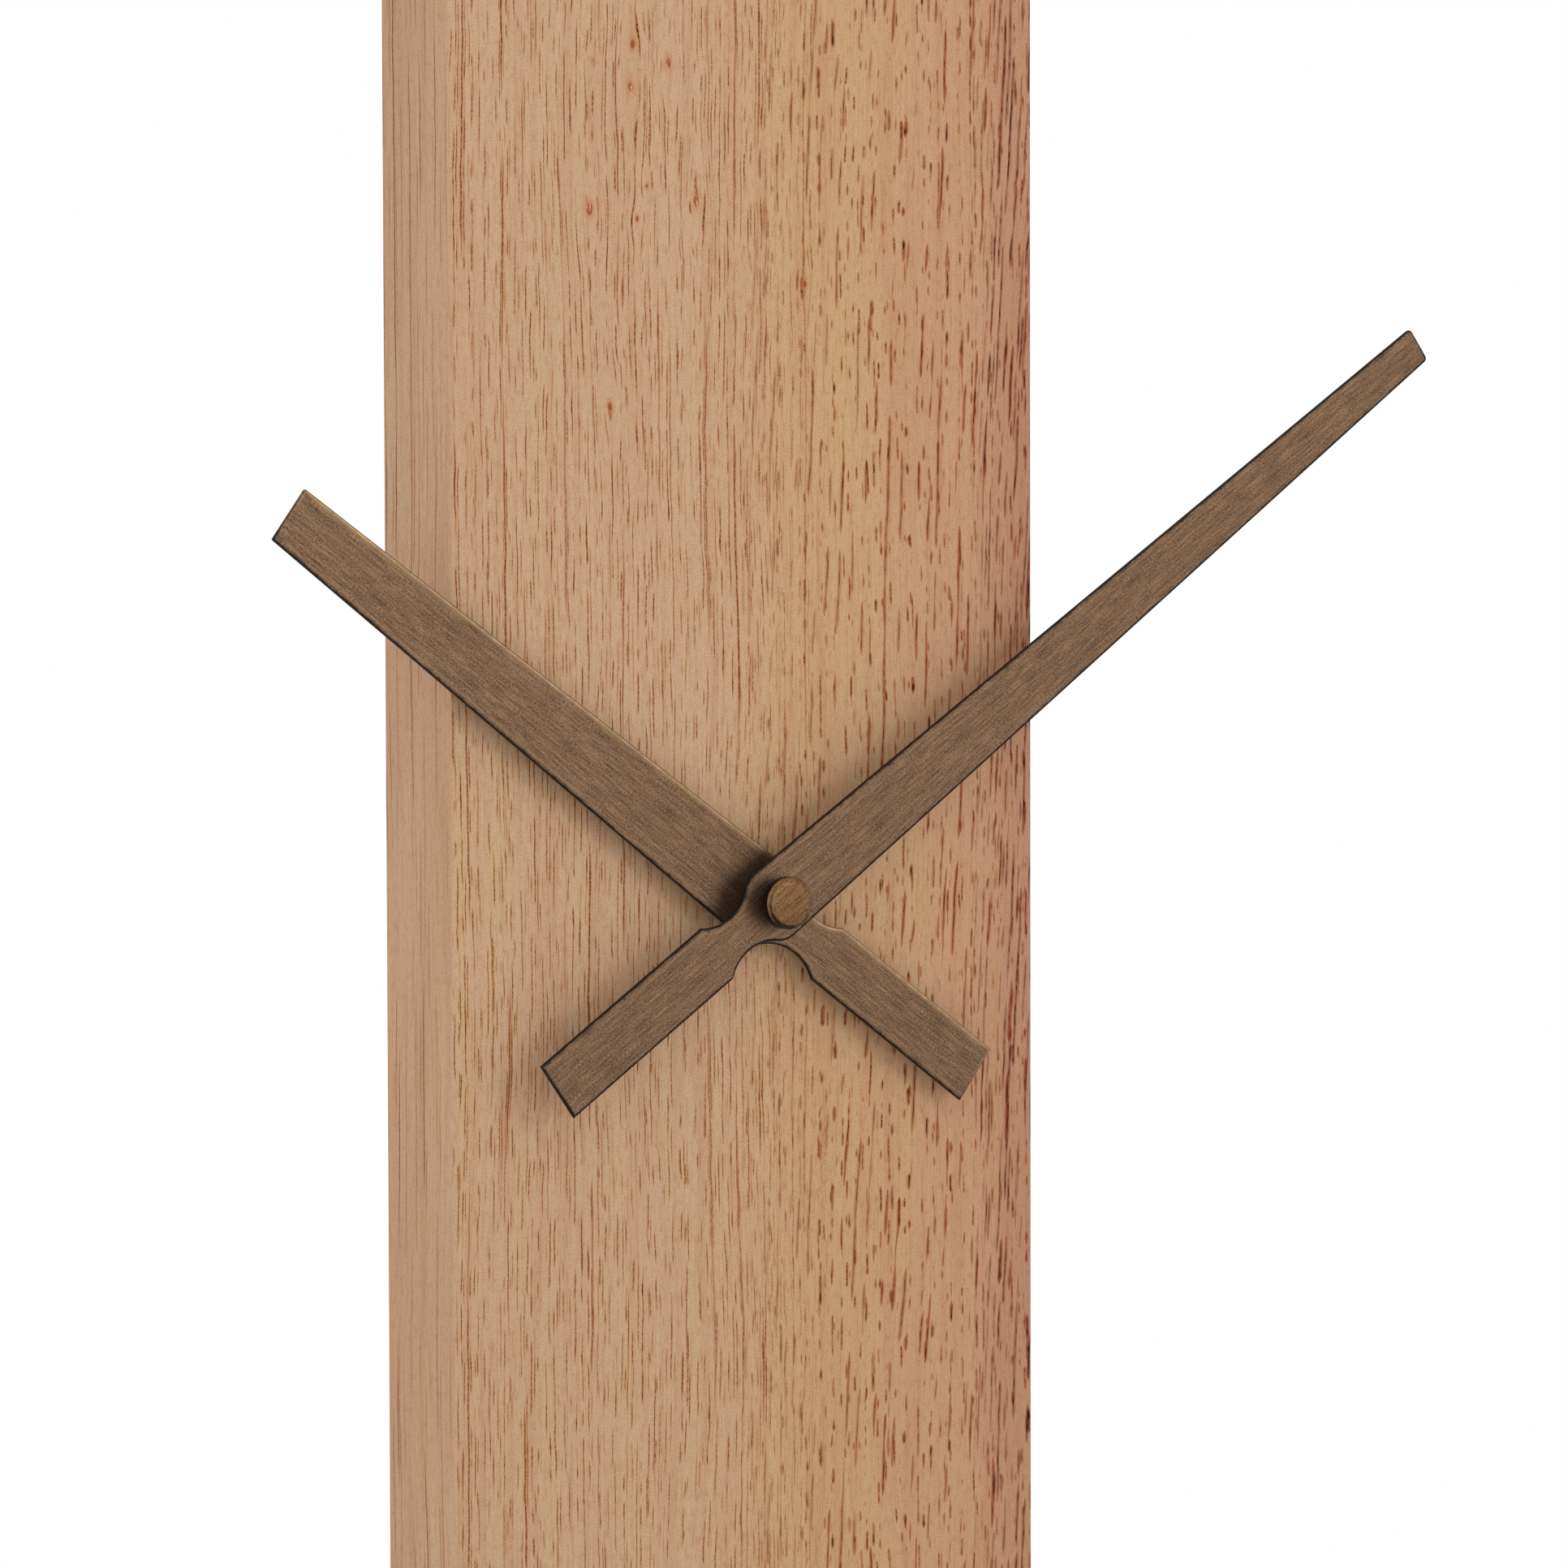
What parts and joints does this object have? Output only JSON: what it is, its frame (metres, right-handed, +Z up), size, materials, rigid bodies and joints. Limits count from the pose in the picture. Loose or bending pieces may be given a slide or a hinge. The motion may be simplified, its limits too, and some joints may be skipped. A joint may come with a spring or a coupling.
{
  "type": "pendulum wall clock",
  "caption": "Wall clock with a slim mitred timber body, two large waisted bronze-finish hands without a dial, a quartz movement and a disc-bob pendulum hanging below.",
  "frame": {"origin": "the point on the wall plane where the clock hangs on its wall screw, at the top of the keyhole slot", "axes": "+Z up, -Y out of the wall towards the viewer, +X to the right seen from the front"},
  "size_m": [0.2976, 0.0498, 0.7095],
  "materials": {
    "timber": "satin-oiled light red-brown hardwood with fine dark pores",
    "antique_bronze": "aluminium plated and brushed to an antique bronze, rubbed through along the edges",
    "brass": "turned",
    "steel": "zinc plated",
    "felt": "dense brown felt",
    "case_plastic": "fine spark-eroded black",
    "wheel_plastic": "natural acetal",
    "magnet": "sintered ferrite",
    "copper": "enamelled copper wire",
    "circuit_board": "solder-masked laminate",
    "battery_sleeve": "plain shrink sleeve",
    "rubber": "matte"
  },
  "bodies": {
    "clock_body": {"front_panel": "timber", "left_side": "timber", "right_side": "timber", "top_end": "timber", "bottom_end": "timber", "hanger_rail": "timber", "hanger_plate": "steel", "hanger_screw_left": "steel", "hanger_screw_right": "steel", "wall_pad_upper_left": "felt", "wall_pad_upper_right": "felt", "wall_pad_lower_left": "felt", "wall_pad_lower_right": "felt", "movement_case": "case_plastic", "movement_cover": "case_plastic", "mounting_bush": "brass", "mounting_gasket": "rubber", "mounting_washer": "brass", "mounting_nut": "brass", "stator": "steel", "time_coil": "copper", "circuit_board": "circuit_board", "quartz_crystal": "steel", "battery": "battery_sleeve", "contact_positive": "steel", "contact_negative": "steel", "contact_spring": "steel", "lever_pin": "steel", "pendulum_coil": "copper"},
    "minute_shaft": {"minute_arbor": "brass", "minute_hand": "antique_bronze", "minute_hand_bush": "brass", "hand_cap": "antique_bronze"},
    "hour_shaft": {"hour_wheel": "wheel_plastic", "hour_hand": "antique_bronze", "hour_hand_bush": "brass"},
    "motion_wheel": {"minute_wheel": "wheel_plastic"},
    "setting_shaft": {"setting_knob": "wheel_plastic"},
    "seconds_arbor": {"fourth_wheel": "wheel_plastic"},
    "third_arbor": {"third_wheel": "wheel_plastic"},
    "centre_clutch": {"centre_wheel": "wheel_plastic"},
    "intermediate_arbor": {"intermediate_wheel": "wheel_plastic"},
    "rotor_arbor": {"rotor": "magnet"},
    "pendulum": {"swing_lever": "wheel_plastic", "lever_magnet": "magnet", "pendulum_hook": "brass", "pendulum_rod": "antique_bronze"},
    "bob": {"bob_shell": "antique_bronze", "bob_weight": "steel", "bob_back": "steel", "bob_clip": "steel", "bob_screw_left": "steel", "bob_screw_right": "steel"}
  },
  "joints": [
    {"name": "minute_turn", "type": "hinge", "parent": "clock_body", "child": "minute_shaft", "pos_m": [0, -0.02, -0.21], "axis": [0, 1, 0], "continuous": true},
    {"name": "hour_turn", "type": "hinge", "parent": "clock_body", "child": "hour_shaft", "pos_m": [0, -0.02, -0.21], "axis": [0, 1, 0], "continuous": true},
    {"name": "motion_turn", "type": "hinge", "parent": "clock_body", "child": "motion_wheel", "pos_m": [0.00693, -0.02, -0.214], "axis": [0, 1, 0], "continuous": true},
    {"name": "setting_turn", "type": "hinge", "parent": "clock_body", "child": "setting_shaft", "pos_m": [0.01306, -0.02, -0.20886], "axis": [0, 1, 0], "continuous": true},
    {"name": "train_turn", "type": "hinge", "parent": "clock_body", "child": "seconds_arbor", "pos_m": [0, -0.02, -0.21], "axis": [0, 1, 0], "continuous": true},
    {"name": "third_turn", "type": "hinge", "parent": "clock_body", "child": "third_arbor", "pos_m": [-0.00818, -0.02, -0.20528], "axis": [0, 1, 0], "continuous": true},
    {"name": "centre_turn", "type": "hinge", "parent": "clock_body", "child": "centre_clutch", "pos_m": [0, -0.02, -0.21], "axis": [0, 1, 0], "continuous": true},
    {"name": "intermediate_turn", "type": "hinge", "parent": "clock_body", "child": "intermediate_arbor", "pos_m": [0.00245, -0.02, -0.20087], "axis": [0, 1, 0], "continuous": true},
    {"name": "rotor_turn", "type": "hinge", "parent": "clock_body", "child": "rotor_arbor", "pos_m": [0.00806, -0.02, -0.19763], "axis": [0, 1, 0], "continuous": true},
    {"name": "pendulum_swing", "type": "hinge", "parent": "clock_body", "child": "pendulum", "pos_m": [0, -0.0142, -0.243], "axis": [0, 1, 0], "range_deg": [-6, 6]},
    {"name": "bob_slide", "type": "slide", "parent": "pendulum", "child": "bob", "axis": [0, 0, 1], "range_m": [-0.01, 0.01]}
  ],
  "couplings": [
    {"joint": "hour_turn", "follows": "minute_turn", "ratio": 0.083333},
    {"joint": "motion_turn", "follows": "minute_turn", "ratio": -0.33333},
    {"joint": "setting_turn", "follows": "minute_turn", "ratio": 1},
    {"joint": "third_turn", "follows": "train_turn", "ratio": -0.13333},
    {"joint": "centre_turn", "follows": "train_turn", "ratio": 0.016667},
    {"joint": "intermediate_turn", "follows": "train_turn", "ratio": -6},
    {"joint": "rotor_turn", "follows": "train_turn", "ratio": 30}
  ]
}
